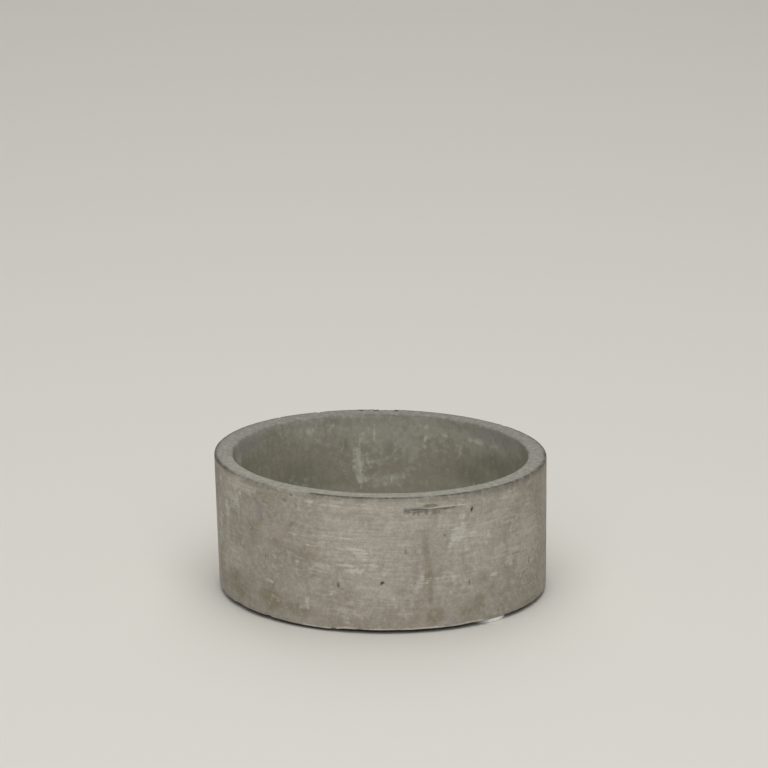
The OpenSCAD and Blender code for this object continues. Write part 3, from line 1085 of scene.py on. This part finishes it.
# %% Plug
plug_low, plug_high = (np.array(corner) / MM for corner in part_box("drain_plug"))
RIB_GAP, NECK_DEEP, RIB_H, HEAD_T = 0.08, 0.7, 1.6, 2.5  # mm
RIB_R, HEAD_R = DRAIN_R - RIB_GAP, plug_high[0]
NECK_R = RIB_R - NECK_DEEP
HEAD_TOP = FLOOR_Z + HEAD_T
TAB_R, TAB_HALF, EYE_R = 6.0, 1.5, 2.0
EYE_Z = plug_high[2] - TAB_R
TAB_FOOT = HEAD_TOP - 0.6
second_rib = FLOOR_Z - 2 * RIB_H
plug_line = profile([
    (0, plug_low[2], 0), (NECK_R - NECK_DEEP, plug_low[2], 0.3), (RIB_R, plug_low[2] + RIB_H, 0.2),
    (NECK_R, plug_low[2] + RIB_H + 0.15, 0.25), (NECK_R, second_rib, 0.4), (RIB_R, second_rib + RIB_H, 0.2),
    (NECK_R, second_rib + RIB_H + 0.15, 0.25), (NECK_R, FLOOR_Z, 0.25), (HEAD_R, FLOOR_Z, 0.15),
    (HEAD_R, HEAD_TOP, 0.75), (0, HEAD_TOP, 0),
], 0.6)
plug_points, plug_faces = turned(plug_line, 128)

# The bar's section: how far each point lies from the eye, and its side. Its two roundings keep their
# size, and the stretch between them grows with the tab's outline.
BAR, EYE_ROUND, EDGE_ROUND = 10, 0.5, 0.6
bar = profile([(0, 0, 0), (0, -TAB_HALF, EYE_ROUND), (BAR, -TAB_HALF, EDGE_ROUND), (BAR, 0, 0)], 0.5, 6)[1:]
bar = np.concatenate([bar, bar[-2::-1] * (1, -1), [[0, 0]]])
grow = np.clip((bar[:, 0] - EYE_ROUND) / (BAR - EYE_ROUND - EDGE_ROUND), 0, 1)
rounding = np.minimum(bar[:, 0], EYE_ROUND) + np.maximum(bar[:, 0] - BAR + EDGE_ROUND, 0)
around_eye = np.arange(120)[:, None] * math.tau / 120
to_side = TAB_R / np.maximum(np.abs(np.sin(around_eye)), 1e-6)
to_foot = (EYE_Z - TAB_FOOT) / np.maximum(-np.cos(around_eye), 1e-6)
outline = np.where(np.cos(around_eye) > 0, TAB_R, np.minimum(to_side, to_foot))
out = EYE_R + rounding + (outline - EYE_R - EYE_ROUND - EDGE_ROUND) * grow
tab_x, tab_z = out * np.sin(around_eye), EYE_Z + out * np.cos(around_eye)
swell = 1 + 0.5 * np.exp(-((tab_z - TAB_FOOT) / 0.8) ** 2)
tab_points = np.stack([tab_x * (1 + 0.06 * (swell - 1)), bar[:, 1] * swell, tab_z], -1).reshape(-1, 3)
tab_faces = wrapped_faces(len(bar), 120)[:, ::-1] + len(plug_points)
plug = new_piece("rubber_plug", np.concatenate([plug_points, tab_points]), plug_faces + tab_faces.tolist(),
                 "plug", "plug_rubber", "drain_plug")

# %% [markdown]
# ## Moulded rubber
# The plug's mould was blasted with fine grit, so that black rubber comes out of it matt and evenly
# grained. Cement dust clings to it in patches. One noise mixes in the dust's colour and makes those
# patches rougher, and a much finer one gives the grain as a bump.

# %% Plug material
def moulded_rubber():
    """Black rubber, matt from the mould's fine blasting, with grey cement dust in patches of 6 mm."""
    material, tree = start_material("black_moulded_rubber")
    place = node(tree, "TexCoord").outputs["Object"]
    dust = node(tree, "TexNoise", Vector=place, Scale=1000 / 6, Detail=5.0, Roughness=0.7).outputs["Fac"]
    blast = node(tree, "TexNoise", Vector=place, Scale=1000 / 0.5, Detail=1.0).outputs["Fac"]
    dusty = node(tree, "MapRange", {"interpolation_type": "SMOOTHSTEP"}, Value=dust, From_Min=0.48,
                 From_Max=0.75, To_Max=0.5).outputs[0]
    shades = {"s6": linear("#1d1d1f"), "s7": linear("#6b6963")}
    tint = node(tree, "Mix", {"data_type": "RGBA"}, s0=dusty, **shades).outputs[2]
    rough = node(tree, "MapRange", Value=dusty, To_Min=0.42, To_Max=0.85).outputs[0]
    bump = node(tree, "Bump", Strength=0.2, Distance=0.00008, Height=blast).outputs[0]
    surface = node(tree, "BsdfPrincipled", Base_Color=tint, Roughness=rough, IOR=1.52, Normal=bump)
    node(tree, "OutputMaterial", Surface=surface.outputs["BSDF"])
    return material


dress(plug, moulded_rubber())
print("rubber on the plug")

# %% [markdown]
# ## Size of the finished pieces
# The box around the finished pieces is printed, in millimetres.

# %% Size of the finished pieces
low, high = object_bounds()
print("visual box:", [round(v / MM, 2) for v in (*low, *high)])
